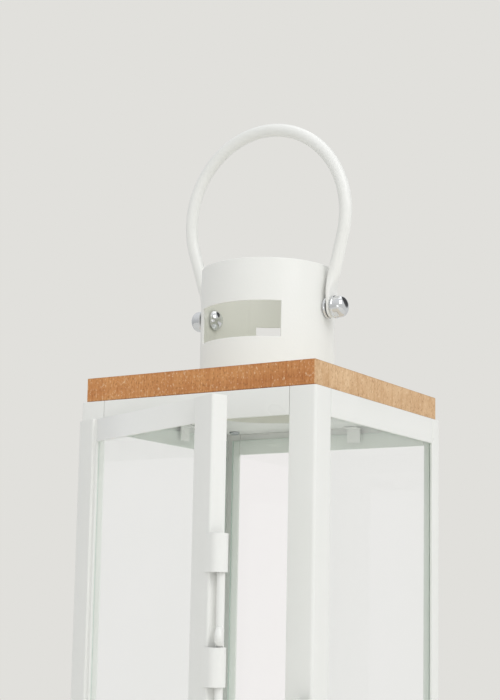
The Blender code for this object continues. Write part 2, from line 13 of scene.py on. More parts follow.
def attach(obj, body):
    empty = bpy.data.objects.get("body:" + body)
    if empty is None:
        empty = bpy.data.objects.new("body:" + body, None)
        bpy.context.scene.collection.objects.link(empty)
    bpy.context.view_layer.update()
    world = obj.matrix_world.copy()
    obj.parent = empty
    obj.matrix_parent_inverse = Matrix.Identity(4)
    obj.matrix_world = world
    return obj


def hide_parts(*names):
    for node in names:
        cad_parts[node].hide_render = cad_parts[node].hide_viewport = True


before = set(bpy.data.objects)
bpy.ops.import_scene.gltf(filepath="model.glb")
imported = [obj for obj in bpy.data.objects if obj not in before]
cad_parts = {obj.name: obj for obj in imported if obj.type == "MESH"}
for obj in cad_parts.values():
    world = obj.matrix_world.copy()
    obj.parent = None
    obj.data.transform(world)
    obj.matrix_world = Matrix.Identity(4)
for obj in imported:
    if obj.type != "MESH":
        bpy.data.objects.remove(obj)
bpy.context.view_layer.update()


# ---- Camera ----------------------------------------------------------------------------------
# A long lens at the height of the lantern's middle, off its front right corner, tipped up a
# little, so that the chimney stands against the backdrop and the feet fall below the picture.
def set_camera(place, turn, tip, roll, lens, shift):
    """A camera at place.  It looks along (-sin turn cos tip, cos turn cos tip, sin tip), and the
    picture is rolled about that line."""
    forward = Vector((-math.sin(turn) * math.cos(tip), math.cos(turn) * math.cos(tip), math.sin(tip)))
    level = Vector((math.cos(turn), math.sin(turn), 0.0))
    above = level.cross(forward)
    right = level * math.cos(roll) + above * math.sin(roll)
    up = above * math.cos(roll) - level * math.sin(roll)
    data = bpy.data.cameras.new("camera")
    data.lens = lens
    data.shift_x, data.shift_y = shift
    camera = bpy.data.objects.new("camera", data)
    camera.matrix_world = Matrix((right, up, -forward)).transposed().to_4x4()
    camera.location = place
    bpy.context.scene.collection.objects.link(camera)
    bpy.context.scene.camera = camera


set_camera(place=(0.42274, -0.69138, 0.17026), turn=math.radians(31.55), tip=math.radians(7.17),
           roll=math.radians(1.01), lens=71.19, shift=(-0.01914, 0.1215))


# ---- Studio ----------------------------------------------------------------------------------
# A white studio: pale walls all round that give most of the light, a large softbox high on the
# right, weak ones low in front and straight above, and a pale floor.  Behind the lantern the wall
# shows as one even warm grey.
def linear(code):
    """A linear RGBA colour from an sRGB hex code: each channel c becomes ((c + 0.055) / 1.055)
    to the power 2.4."""
    channels = np.array([int(code[i:i + 2], 16) for i in (0, 2, 4)]) / 255
    return (*(((channels + 0.055) / 1.055) ** 2.4), 1.0)


def add(tree, kind, feeds=(), **settings):
    """Adds one node.  Settings are its own properties; feeds are pairs of an input and what it
    gets, another node's output or a plain value."""
    made = tree.nodes.new(kind)
    for name, value in settings.items():
        setattr(made, name, value)
    for socket, value in feeds:
        if isinstance(value, bpy.types.NodeSocket):
            tree.links.new(value, made.inputs[socket])
        else:
            made.inputs[socket].default_value = value
    return made


def studio_walls():
    """Even walls, dimmer on the left, brighter overhead, with a dark gap high on the far right
    that only mirrors show."""
    world = bpy.data.worlds.new("white_studio")
    world.use_nodes = True
    tree = world.node_tree
    tree.nodes.clear()
    way = add(tree, "ShaderNodeTexCoord").outputs["Generated"]
    parts = add(tree, "ShaderNodeSeparateXYZ", [(0, way)]).outputs
    height = add(tree, "ShaderNodeMapRange", [(0, parts["Z"]), (1, -0.2), (2, 1.0), (3, 0.0), (4, 1.0)],
                 interpolation_type="SMOOTHSTEP").outputs[0]
    side = add(tree, "ShaderNodeMapRange", [(0, parts["X"]), (1, -0.95), (2, 0.25), (3, 0.0), (4, 1.0)],
               interpolation_type="SMOOTHSTEP").outputs[0]
    walls = add(tree, "ShaderNodeMix", [("Factor", side), ("A", linear("C6C7C7")), ("B", linear("E4E4E2"))],
                data_type="RGBA").outputs["Result"]
    walls = add(tree, "ShaderNodeMix", [("Factor", height), ("A", walls), ("B", linear("F2F3F4"))],
                data_type="RGBA").outputs["Result"]
    far_right = add(tree, "ShaderNodeVectorMath", [(0, way), (1, (0.42, 0.68, 0.60))],
                    operation="DOT_PRODUCT").outputs["Value"]
    unlit = add(tree, "ShaderNodeMapRange", [(0, far_right), (1, 0.86), (2, 0.91), (3, 0.0), (4, 0.93)],
                interpolation_type="SMOOTHSTEP").outputs[0]
    path = add(tree, "ShaderNodeLightPath").outputs
    unlit = add(tree, "ShaderNodeMath", [(0, unlit), (1, path["Is Glossy Ray"])],
                operation="MULTIPLY").outputs[0]
    room = add(tree, "ShaderNodeMix", [("Factor", unlit), ("A", walls), ("B", linear("2A2B2C"))],
               data_type="RGBA").outputs["Result"]
    light = add(tree, "ShaderNodeBackground", [("Color", room), ("Strength", 0.935)])
    plain = add(tree, "ShaderNodeBackground", [("Color", linear("E1E0DC")), ("Strength", 1.0)])
    bright = add(tree, "ShaderNodeBackground", [("Color", linear("F6F1F1")), ("Strength", 1.0)])
    seen = add(tree, "ShaderNodeMixShader", [(0, path["Is Camera Ray"]), (1, light.outputs[0]),
                                             (2, plain.outputs[0])]).outputs[0]
    seen = add(tree, "ShaderNodeMixShader", [(0, path["Is Transmission Ray"]), (1, seen),
                                             (2, bright.outputs[0])]).outputs[0]
    add(tree, "ShaderNodeOutputWorld", [("Surface", seen)])
    bpy.context.scene.world = world


def softbox(name, turn, height, distance, size, watts):
    """A square lamp that faces the lantern's middle, at a turn from +X and a height angle.  The
    lamp itself stays out of the picture."""
    data = bpy.data.lights.new(name, "AREA")
    data.size = size
    data.energy = watts
    lamp = bpy.data.objects.new(name, data)
    middle = Vector((0.0, 0.0, 0.25))
    way = Vector((math.cos(turn) * math.cos(height), math.sin(turn) * math.cos(height), math.sin(height)))
    lamp.location = middle + way * distance
    lamp.rotation_euler = way.to_track_quat("Z", "Y").to_euler()
    lamp.visible_camera = False
    bpy.context.scene.collection.objects.link(lamp)


def painted_floor():
    """A studio floor in matt paint, rolled on: faint cloudy patches and a fine stipple."""
    made = bpy.data.materials.new("matt_floor_paint")
    made.use_nodes = True
    tree = made.node_tree
    spot = add(tree, "ShaderNodeTexCoord").outputs["Object"]
    clouds = add(tree, "ShaderNodeTexNoise", [("Vector", spot), ("Scale", 3.0), ("Detail", 3.0)]).outputs[0]
    paint = add(tree, "ShaderNodeMix", [("Factor", clouds), ("A", linear("E7E6E2")), ("B", linear("EAE9E5"))],
                data_type="RGBA")
    stipple = add(tree, "ShaderNodeTexNoise", [("Vector", spot), ("Scale", 400.0)]).outputs[0]
    bump = add(tree, "ShaderNodeBump", [("Height", stipple), ("Strength", 0.1), ("Distance", 0.0003)])
    shader = tree.nodes["Principled BSDF"]
    tree.links.new(paint.outputs["Result"], shader.inputs["Base Color"])
    tree.links.new(bump.outputs[0], shader.inputs["Normal"])
    shader.inputs["Roughness"].default_value = 0.8
    return made


def lay_floor(radius):
    """A round floor: the points radius (cos a, sin a, 0) round a full turn, filled."""
    turns = np.linspace(0, 2 * np.pi, 96, endpoint=False)
    points = np.stack([radius * np.cos(turns), radius * np.sin(turns), 0 * turns - 0.0002], axis=1)
    mesh = bpy.data.meshes.new("studio_floor")
    mesh.from_pydata(points.tolist(), [], [list(range(len(points)))])
    mesh.materials.append(painted_floor())
    floor = bpy.data.objects.new("studio_floor", mesh)
    bpy.context.scene.collection.objects.link(floor)


bpy.context.scene.view_settings.view_transform = "Standard"
studio_walls()
softbox("key_softbox", turn=math.radians(-22), height=math.radians(36), distance=1.8, size=1.0, watts=7.5)
softbox("low_fill", turn=math.radians(-76), height=math.radians(-14), distance=1.8, size=1.2, watts=3.8)
softbox("top_fill", turn=math.radians(70), height=math.radians(80), distance=1.8, size=1.2, watts=2.8)
lay_floor(radius=1.5)


# ---- Corner posts and rails ------------------------------------------------------------------
# Mild-steel angle and flat bar, sawn to length and spot-welded into a box: four upright posts with
# a bent outer corner, 16 mm legs in front and 11 mm behind, and rails between them.  The whole
# frame is powder coated satin white after welding.
HALF = 0.077
FRONT_LEG = 0.016
REAR_LEG = 0.011
WALL = 0.0015
BODY_HEIGHT = 0.286
RAIL_DEEP = 0.015
RAIL_FLANGE = 0.010
JOINT = 0.0003


def rounded(corners, radii, steps=5):
    """A closed outline with eased corners: corner C with neighbours P and N becomes the curve
    (1-t)^2 A + 2t(1-t) C + t^2 B, with A and B a radius from C towards P and N."""
    corners = np.array(corners, float)
    radii = np.broadcast_to(radii, len(corners))[:, None]
    to_last = np.roll(corners, 1, axis=0) - corners
    to_next = np.roll(corners, -1, axis=0) - corners
    start = corners + radii * to_last / np.linalg.norm(to_last, axis=1, keepdims=True)
    end = corners + radii * to_next / np.linalg.norm(to_next, axis=1, keepdims=True)
    t = np.linspace(0, 1, steps)[None, :, None]
    curve = (1 - t) ** 2 * start[:, None] + 2 * t * (1 - t) * corners[:, None] + t ** 2 * end[:, None]
    return curve.reshape(-1, 2)


def skin(name, rings, finish, loop=False, crease=35.0, edge=0.0):
    """A closed surface over rings of points: point k of ring i is joined to its neighbours in
    the ring and in the next ring by a four-sided face.  The end rings are filled, or joined to
    each other if the rings form a loop.  Sharp edges can be eased by a Bevel."""
    rings = np.asarray(rings, float)
    count, around = rings.shape[:2]
    index = np.arange(count * around).reshape(count, around)
    near = index if loop else index[:-1]
    far = np.roll(index, -1, axis=0) if loop else index[1:]
    faces = np.stack([near, np.roll(near, -1, axis=1), np.roll(far, -1, axis=1), far], axis=-1)
    faces = faces.reshape(-1, 4).tolist()
    if not loop:
        faces += [index[0][::-1].tolist(), index[-1].tolist()]
    mesh = bpy.data.meshes.new(name)
    mesh.from_pydata(rings.reshape(-1, 3).tolist(), [], faces)
    work = bmesh.new()
    work.from_mesh(mesh)
    bmesh.ops.recalc_face_normals(work, faces=work.faces)
    work.to_mesh(mesh)
    work.free()
    mesh.materials.append(finish)
    mesh.shade_smooth()
    mesh.set_sharp_from_angle(angle=math.radians(crease))
    piece = bpy.data.objects.new(name, mesh)
    bpy.context.scene.collection.objects.link(piece)
    if edge:
        ease = piece.modifiers.new("eased_edges", "BEVEL")
        ease.width = edge
        ease.segments = 3
        ease.limit_method = "ANGLE"
        ease.angle_limit = math.radians(50)
        ease.harden_normals = True
    return piece


def bar(name, outline, base, across, upward, run, finish, edge=0.0003):
    """A bar of one section: outline point (a, b) sits at base + a across + b upward, and the
    section is carried along the vector run."""
    base, across, upward, run = (np.array(v, float) for v in (base, across, upward, run))
    section = base + outline[:, :1] * across + outline[:, 1:] * upward
    return skin(name, [section, section + run], finish, edge=edge)


def settle(piece, body, node):
    """Files a finished piece: the body it rides on and the CAD node it stands
    for."""
    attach(piece, body)
    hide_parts(node)


def quarter(turn):
    """The cosine and the sine of a whole number of quarter turns, given in degrees."""
    return round(math.cos(math.radians(turn))), round(math.sin(math.radians(turn)))


def powder_coat(name, shade, thick_shade):
    """Polyester powder coat, baked satin white: a soft sheen with a fine orange peel, a little
    uneven in thickness, so its roughness and whiteness drift over a few centimetres."""
    made = bpy.data.materials.new(name)
    made.use_nodes = True
    tree = made.node_tree
    shader = tree.nodes["Principled BSDF"]
    spot = add(tree, "ShaderNodeTexCoord").outputs["Object"]
    # thickness drifts over about 35 mm, the peel is 1.6 mm across and the finest grain 0.4 mm
    drift = add(tree, "ShaderNodeTexNoise", [("Vector", spot), ("Scale", 28.0), ("Detail", 3.0)]).outputs[0]
    white = add(tree, "ShaderNodeMix", [("Factor", drift), ("A", linear(shade)), ("B", linear(thick_shade))],
                data_type="RGBA")
    sheen = add(tree, "ShaderNodeMapRange", [(0, drift), (1, 0.3), (2, 0.7), (3, 0.27), (4, 0.36)])
    peel = add(tree, "ShaderNodeTexNoise", [("Vector", spot), ("Scale", 620.0), ("Detail", 1.0)]).outputs[0]
    fine = add(tree, "ShaderNodeTexNoise", [("Vector", spot), ("Scale", 2600.0), ("Detail", 1.0)]).outputs[0]
    coat = add(tree, "ShaderNodeMath", [(0, fine), (1, 0.25), (2, peel)], operation="MULTIPLY_ADD")
    bump = add(tree, "ShaderNodeBump", [("Height", coat.outputs[0]), ("Strength", 0.30),
                                        ("Distance", 0.00012)])
    tree.links.new(white.outputs["Result"], shader.inputs["Base Color"])
    tree.links.new(sheen.outputs[0], shader.inputs["Roughness"])
    tree.links.new(bump.outputs[0], shader.inputs["Normal"])
    shader.inputs["IOR"].default_value = 1.5
    return made


SATIN_WHITE = powder_coat("satin_white_powder_coat", "EEEFEB", "F2F2F0")


def weld_posts():
    """The angle section with its outer corner at (HALF, HALF), turned to each corner in turn."""
    for corner, turn, leg in (("back_right", 0, REAR_LEG), ("back_left", 90, REAR_LEG),
                              ("front_left", 180, FRONT_LEG), ("front_right", 270, FRONT_LEG)):
        inside = HALF - leg
        outline = rounded([(HALF, inside), (HALF, HALF), (inside, HALF), (inside, HALF - WALL),
                           (HALF - WALL, HALF - WALL), (HALF - WALL, inside)],
                          [0.0004, 0.0022, 0.0004, 0.0004, 0.0008, 0.0004], 7)
        c, s = quarter(turn)
        post = bar("post_" + corner, outline, (0, 0, 0), (c, s, 0), (-s, c, 0), (0, 0, BODY_HEIGHT),
                   SATIN_WHITE)
        settle(post, "frame", "corner_post_" + corner)


def weld_rails():
    """On each side a flat rail on top and an L section below with its flange turned in, both
    flush with the posts' faces."""
    front = HALF - FRONT_LEG - JOINT
    rear = HALF - REAR_LEG - JOINT
    top = [(0, 0), (0, RAIL_DEEP), (-WALL, RAIL_DEEP), (-WALL, 0)]
    lift = 0.0012 + JOINT
    bottom = [(0, 0), (0, RAIL_DEEP), (-WALL, RAIL_DEEP), (-WALL, lift + WALL),
              (-RAIL_FLANGE, lift + WALL), (-RAIL_FLANGE, lift), (-WALL, lift), (-WALL, 0)]
    for side, turn, low, high in (("right", 0, -front, rear), ("back", 90, -rear, rear),
                                  ("left", 180, -rear, front), ("front", 270, -front, front)):
        c, s = quarter(turn)
        for row, corners, height in (("top", top, BODY_HEIGHT - RAIL_DEEP), ("bottom", bottom, 0.0)):
            base = np.array((c * HALF - s * low, s * HALF + c * low, height))
            run = (high - low) * np.array((-s, c, 0))
            rail = bar("rail_" + row + "_" + side, rounded(corners, 0.0004, 4), base, (c, s, 0), (0, 0, 1),
                       run, SATIN_WHITE)
            settle(rail, "frame", row + "_rail_" + side)


weld_posts()
weld_rails()


# ---- Base, ceiling, pane clips and hinge knuckles --------------------------------------------
# Flat 1.2 mm steel sheets close the frame below and above.  Small clips bent from thin strip hold
# the panes, and the hinge knuckles are bent strip too.  All keep their CAD shape and are coated
# with the frame.
for name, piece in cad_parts.items():
    if name.startswith(("base_plate", "ceiling_plate", "hinge_lower", "hinge_upper")) or "_clip_" in name:
        piece.material_slots[0].material = SATIN_WHITE


# ---- Timber top ------------------------------------------------------------------------------
# A 14 mm softwood board, 150 mm square, stained warm brown.  Its edges are left as the saw cut
# them: fine upright saw marks and pale flecks where fibres tore out.  The end-grain left and right
# edges took less stain, plus a painted sheen; the top face is rubbed with a pale liming wax.
BOARD_HALF = 0.075
BOARD_LOW = BODY_HEIGHT + JOINT
BOARD_TOP = BODY_HEIGHT + 0.014
FLUE_HOLE = 0.0406


def stained_pine():
    """Sawn pine under a thin brown stain: growth bands along the board, saw marks across its
    edges, torn pale flecks, dark pores, a paler tone with painted sheen on the end grain, painted
    shade along the arrises and a limed top."""
    made = bpy.data.materials.new("stained_sawn_pine")
    made.use_nodes = True
    tree = made.node_tree
    shader = tree.nodes["Principled BSDF"]
    coords = add(tree, "ShaderNodeTexCoord").outputs
    spot = coords["Object"]
    parts = add(tree, "ShaderNodeSeparateXYZ", [(0, spot)]).outputs
    # growth bands: stretched along X, about 6 mm apart across the board
    along = add(tree, "ShaderNodeMapping", [("Vector", spot), ("Scale", (6.0, 160.0, 150.0))]).outputs[0]
    bands = add(tree, "ShaderNodeTexNoise", [("Vector", along), ("Scale", 1.0), ("Detail", 5.0),
                                             ("Distortion", 0.4)]).outputs[0]
    # patches where the stain soaked in unevenly, a few centimetres wide
    soak = add(tree, "ShaderNodeTexNoise", [("Vector", spot), ("Scale", 26.0), ("Detail", 2.0)]).outputs[0]
    # saw marks: fine upright lines, about 1.2 mm apart
    upright = add(tree, "ShaderNodeMapping", [("Vector", spot), ("Scale", (850.0, 850.0, 60.0))]).outputs[0]
    marks = add(tree, "ShaderNodeTexNoise", [("Vector", upright), ("Scale", 1.0), ("Detail", 3.0)]).outputs[0]
    # torn fibres: flecks near 1 mm wide and 1.5 mm tall
    torn = add(tree, "ShaderNodeMapping", [("Vector", spot), ("Scale", (1100.0, 1100.0, 700.0))]).outputs[0]
    torn = add(tree, "ShaderNodeTexNoise", [("Vector", torn), ("Scale", 1.0), ("Detail", 2.0)]).outputs[0]
    flecks = add(tree, "ShaderNodeMapRange", [(0, torn), (1, 0.60), (2, 0.74), (3, 0.0),
                                              (4, 0.75)]).outputs[0]
    pores = add(tree, "ShaderNodeMapRange", [(0, torn), (1, 0.42), (2, 0.28), (3, 0.0), (4, 0.6)]).outputs[0]
    # how pale the wood is: 0.5 bands + 0.3 soak + 0.45 marks
    tone = add(tree, "ShaderNodeMath", [(0, bands), (1, 0.5)], operation="MULTIPLY").outputs[0]
    for pattern, weight in ((soak, 0.3), (marks, 0.45)):
        tone = add(tree, "ShaderNodeMath", [(0, pattern), (1, weight), (2, tone)],
                   operation="MULTIPLY_ADD").outputs[0]
    depth = add(tree, "ShaderNodeMapRange", [(0, tone), (1, 0.45), (2, 0.77), (3, 0.0), (4, 1.0)]).outputs[0]
    # the stain's tones: brown on the long edges; paler on the end grain, where less stain took and a painted
    # sheen is added
    sides = add(tree, "ShaderNodeMath", [(0, parts["X"])], operation="ABSOLUTE").outputs[0]
    end_grain_and_painted_sheen = add(tree, "ShaderNodeMapRange", [(0, sides), (1, BOARD_HALF - 0.0006),
                                                 (2, BOARD_HALF - 0.0002), (3, 0.0), (4, 1.0)]).outputs[0]
    dark = add(tree, "ShaderNodeMix", [("Factor", end_grain_and_painted_sheen), ("A", linear("BC763D")),
                                       ("B", linear("CDA274"))], data_type="RGBA").outputs["Result"]
    light = add(tree, "ShaderNodeMix", [("Factor", end_grain_and_painted_sheen), ("A", linear("DB9E63")),
                                        ("B", linear("E3C198"))], data_type="RGBA").outputs["Result"]
    wood = add(tree, "ShaderNodeMix", [("Factor", depth), ("A", dark), ("B", light)],
               data_type="RGBA").outputs["Result"]
    wood = add(tree, "ShaderNodeMix", [("Factor", pores), ("A", wood), ("B", linear("96592D"))],
               data_type="RGBA").outputs["Result"]
    wood = add(tree, "ShaderNodeMix", [("Factor", flecks), ("A", wood), ("B", linear("EED3AF"))],
               data_type="RGBA").outputs["Result"]
    # painted shade: a dark brown line along the top and bottom arrises stands in for the shadow in the gaps
    # at the board's edges
    middle = (BOARD_LOW + BOARD_TOP) / 2
    off = add(tree, "ShaderNodeMath", [(0, parts["Z"]), (1, -middle)], operation="ADD").outputs[0]
    off = add(tree, "ShaderNodeMath", [(0, off)], operation="ABSOLUTE").outputs[0]
    painted_gap_shade = add(tree, "ShaderNodeMapRange", [(0, off), (1, 0.0063), (2, 0.0069), (3, 0.0),
                                             (4, 0.9)]).outputs[0]
    wood = add(tree, "ShaderNodeMix", [("Factor", painted_gap_shade), ("A", wood), ("B", linear("84512D"))],
               data_type="RGBA").outputs["Result"]
    # the top face: liming wax over bare wood, thinner where the grain stands up
    facing = add(tree, "ShaderNodeSeparateXYZ", [(0, coords["Normal"])]).outputs["Z"]
    top = add(tree, "ShaderNodeMapRange", [(0, facing), (1, 0.6), (2, 0.9), (3, 0.0), (4, 1.0)]).outputs[0]
    limed = add(tree, "ShaderNodeMix", [("Factor", depth), ("A", linear("DDD0BC")), ("B", linear("EFE8DC"))],
                data_type="RGBA").outputs["Result"]
    wood = add(tree, "ShaderNodeMix", [("Factor", top), ("A", wood), ("B", limed)],
               data_type="RGBA").outputs["Result"]
    relief = add(tree, "ShaderNodeMath", [(0, torn), (1, 0.6), (2, marks)], operation="MULTIPLY_ADD")
    bump = add(tree, "ShaderNodeBump", [("Height", relief.outputs[0]), ("Strength", 0.55),
                                        ("Distance", 0.0004)])
    tree.links.new(wood, shader.inputs["Base Color"])
    tree.links.new(bump.outputs[0], shader.inputs["Normal"])
    rough = add(tree, "ShaderNodeMapRange", [(0, bands), (1, 0.3), (2, 0.7), (3, 0.55), (4, 0.72)])
    tree.links.new(rough.outputs[0], shader.inputs["Roughness"])
    return made


def cut_board():
    """Four loops that the same turns run round: a circle at the flue's hole and a square at the
    edge, below and above.  The square's point at turn a is its half side over
    max(|cos a|, |sin a|) out from the middle."""
    turns = np.linspace(0, 2 * np.pi, 192, endpoint=False)
    way = np.stack([np.cos(turns), np.sin(turns)], axis=1)
    square = BOARD_HALF * way / np.abs(way).max(axis=1, keepdims=True)
    rings = []
    for flat, height in ((FLUE_HOLE * way, BOARD_LOW), (square, BOARD_LOW), (square, BOARD_TOP),
                         (FLUE_HOLE * way, BOARD_TOP)):
        rings.append(np.column_stack([flat, np.full(len(flat), height)]))
    board = skin("timber_board", rings, stained_pine(), loop=True, edge=0.0005)
    settle(board, "frame", "timber_top")


cut_board()


# ---- Chimney ---------------------------------------------------------------------------------
# A strip of 1.2 mm steel, punched with two vent slots, rolled into an 80 mm tube and seam welded
# on its rear left.  Its foot is welded into the ceiling sheet and it is coated with the frame.
TUBE_RADIUS = 0.040
TUBE_WALL = 0.0012
TUBE_LOW = BODY_HEIGHT - 0.0012 - JOINT
TUBE_RIM = BODY_HEIGHT + 0.0837
SLOT_LOW = BODY_HEIGHT + 0.0379
SLOT_HIGH = BODY_HEIGHT + 0.0586
SLOT_HALF = 0.0268
WELD_TURN = math.radians(140)
WELD_HIGH = 0.00025
WELD_HALF_WIDTH = 0.001


def roll_chimney():
    """A cylinder on a grid of turns and heights, without the cells of the two slots.  The radius
    swells by 0.25 mm exp(-(s / 1 mm)^2) at a distance s from the weld."""
    slot_turn = math.asin(SLOT_HALF / TUBE_RADIUS)
    turns = np.linspace(0, 2 * np.pi, 160, endpoint=False)
    edges = [sign * np.pi / 2 + side * slot_turn for sign in (1, 3) for side in (-1, 1)]
    bead = WELD_TURN + np.linspace(-0.06, 0.06, 9)
    turns = turns[np.abs(turns[:, None] - np.array(edges)).min(axis=1) > 0.012]
    turns = turns[np.abs(turns - WELD_TURN) > 0.08]
    turns = np.sort(np.concatenate([turns, edges, bead]))
    heights = np.array([TUBE_LOW, SLOT_LOW, SLOT_HIGH, TUBE_RIM])
    off_weld = (turns - WELD_TURN) * TUBE_RADIUS / WELD_HALF_WIDTH
    radius = TUBE_RADIUS - 0.00005 + WELD_HIGH * np.exp(-off_weld ** 2)
    grid = np.zeros((len(heights), len(turns), 3))
    grid[..., 0] = radius * np.cos(turns)
    grid[..., 1] = radius * np.sin(turns)
    grid[..., 2] = heights[:, None]
    index = np.arange(grid[..., 0].size).reshape(grid.shape[:2])
    after = np.roll(index, -1, axis=1)
    faces = np.stack([index[:-1], after[:-1], after[1:], index[1:]], axis=-1)
    gaps = np.diff(np.append(turns, turns[0] + 2 * np.pi))
    middles = turns + gaps / 2
    open_cells = np.abs(TUBE_RADIUS * np.cos(middles)) < SLOT_HALF
    solid = np.ones(faces.shape[:2], bool)
    solid[1] = ~open_cells
    mesh = bpy.data.meshes.new("rolled_chimney")
    mesh.from_pydata(grid.reshape(-1, 3).tolist(), [], faces[solid].tolist())
    mesh.materials.append(SATIN_WHITE)
    # painted shade: the inside of the tube takes a darker olive-grey coat to stand in for its dim inside
    mesh.materials.append(powder_coat("inside_coat_painted_shade", "DEDED4", "E6E6DD"))
    mesh.shade_smooth()
    tube = bpy.data.objects.new("rolled_chimney", mesh)
    bpy.context.scene.collection.objects.link(tube)
    wall = tube.modifiers.new("sheet", "SOLIDIFY")
    wall.thickness = TUBE_WALL
    wall.offset = -1.0
    wall.material_offset = 1
    ease = tube.modifiers.new("eased_edges", "BEVEL")
    ease.width = 0.00035
    ease.segments = 3
    ease.limit_method = "ANGLE"
    ease.angle_limit = math.radians(50)
    ease.harden_normals = True
    settle(tube, "frame", "chimney")


roll_chimney()


# ---- Board screws and hinge pins -------------------------------------------------------------
# Bright zinc-plated steel, cold headed: four pan-head wood screws that hold the board from below
# and the two hinge pins.  Only their heads show.
def zinc_plate():
    """Zinc over steel: a soft bluish grey shine with faint cloudy spangle, 2 mm across."""
    made = bpy.data.materials.new("bright_zinc_plate")
    made.use_nodes = True
    tree = made.node_tree
    shader = tree.nodes["Principled BSDF"]
    spot = add(tree, "ShaderNodeTexCoord").outputs["Object"]
    clouds = add(tree, "ShaderNodeTexNoise", [("Vector", spot), ("Scale", 500.0), ("Detail", 3.0)]).outputs[0]
    zinc = add(tree, "ShaderNodeMix", [("Factor", clouds), ("A", linear("B4B8BB")), ("B", linear("CDD0D1"))],
               data_type="RGBA")
    rough = add(tree, "ShaderNodeMapRange", [(0, clouds), (1, 0.3), (2, 0.7), (3, 0.26), (4, 0.42)])
    tree.links.new(zinc.outputs["Result"], shader.inputs["Base Color"])
    tree.links.new(rough.outputs[0], shader.inputs["Roughness"])
    shader.inputs["Metallic"].default_value = 1.0
    return made


ZINC = zinc_plate()
for name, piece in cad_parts.items():
    if "screw" in name or "hinge_pin" in name:
        piece.material_slots[0].material = ZINC


# ---- Bail ------------------------------------------------------------------------------------
# The carrying handle: a 7.5 mm steel tube bent to a hoop, its ends pressed flat into tabs that
# are drilled for the pivot bolts.  Coated like the frame; it stands a few degrees forward.
PIVOT_Z = BODY_HEIGHT + 0.0587
BAIL_LEAN = math.radians(4.0)
TUBE = 0.0075
HOOP_RADIUS = 0.0538
HOOP_Z = BODY_HEIGHT + 0.116
TAB_X = 0.0433
TAB_THICK = 0.0026
TAB_WIDE = 0.012


def hoop_path():
    """The tube's middle line in the XZ plane: up the flat tab, a short knee drawn as a
    quadratic curve, a straight leg to its tangent point, the arc over the top, and back."""
    bend = np.array((0.0, HOOP_Z))
    low = np.array((TAB_X, PIVOT_Z + 0.0075))
    knee = np.array((TAB_X, PIVOT_Z + 0.0125))
    offset = knee - bend
    distance = np.hypot(*offset)
    turn = math.atan2(offset[1], offset[0]) + math.acos(HOOP_RADIUS / distance)
    tangent = bend + HOOP_RADIUS * np.array((math.cos(turn), math.sin(turn)))
    lean = (tangent - knee) / np.linalg.norm(tangent - knee)
    high = knee + 0.006 * lean
    foot = PIVOT_Z - TAB_WIDE / 2
    rise = foot + (low[1] - foot) * (1 - np.cos(np.linspace(0, np.pi / 2, 22)[1:])) + 0.00004
    tab = np.column_stack([np.full(len(rise), TAB_X), rise])
    t = np.linspace(0, 1, 12)[1:, None]
    bent = low * (1 - t) ** 2 + 2 * t * (1 - t) * knee + high * t ** 2
    leg = high + (tangent - high) * np.linspace(0, 1, 10)[1:, None]
    a = np.linspace(turn, np.pi / 2, 32)[1:]
    arc = bend + HOOP_RADIUS * np.column_stack([np.cos(a), np.sin(a)])
    right = np.concatenate([tab, bent, leg, arc])
    return np.concatenate([right, (right * (-1, 1))[-2::-1]])


def bend_bail():
    """Sections along the path.  Each is the superellipse (thin |cos|^p, wide |sin|^q), flat and
    square at the tabs and a circle above them; the change follows a smooth step over 14 mm.
    Below the bolt the width follows a half circle."""
    path = hoop_path()
    along = np.gradient(path, axis=0)
    along /= np.linalg.norm(along, axis=1, keepdims=True)
    outward = np.column_stack([-along[:, 1], along[:, 0]])
    step = np.clip((path[:, 1] - PIVOT_Z - 0.007) / 0.014, 0, 1)
    flat = 1 - step * step * (3 - 2 * step)
    thin = TUBE / 2 + (TAB_THICK / 2 - TUBE / 2) * flat
    wide = TUBE / 2 + (TAB_WIDE / 2 - TUBE / 2) * flat
    rise = path[:, 1] - (PIVOT_Z - TAB_WIDE / 2)
    wide = np.where(rise < TAB_WIDE / 2, np.sqrt(np.maximum(rise * (TAB_WIDE - rise), 1e-9)), wide)
    a = 2 * np.pi * (np.arange(36) + 0.5) / 36
    c, s = np.cos(a)[None], np.sin(a)[None]
    across = thin[:, None] * np.sign(c) * np.abs(c) ** (1 - 0.62 * flat[:, None])
    deep = wide[:, None] * np.sign(s) * np.abs(s) ** (1 - 0.25 * flat[:, None])
    x = path[:, :1] + outward[:, :1] * across
    z = path[:, 1:] + outward[:, 1:] * across - PIVOT_Z
    tip, lean = math.cos(BAIL_LEAN), math.sin(BAIL_LEAN)
    rings = np.stack([x, deep * tip - z * lean, deep * lean + z * tip + PIVOT_Z], axis=-1)
    bail = skin("bent_tube_bail", rings, SATIN_WHITE, crease=55.0)
    settle(bail, "bail", "bail")


bend_bail()


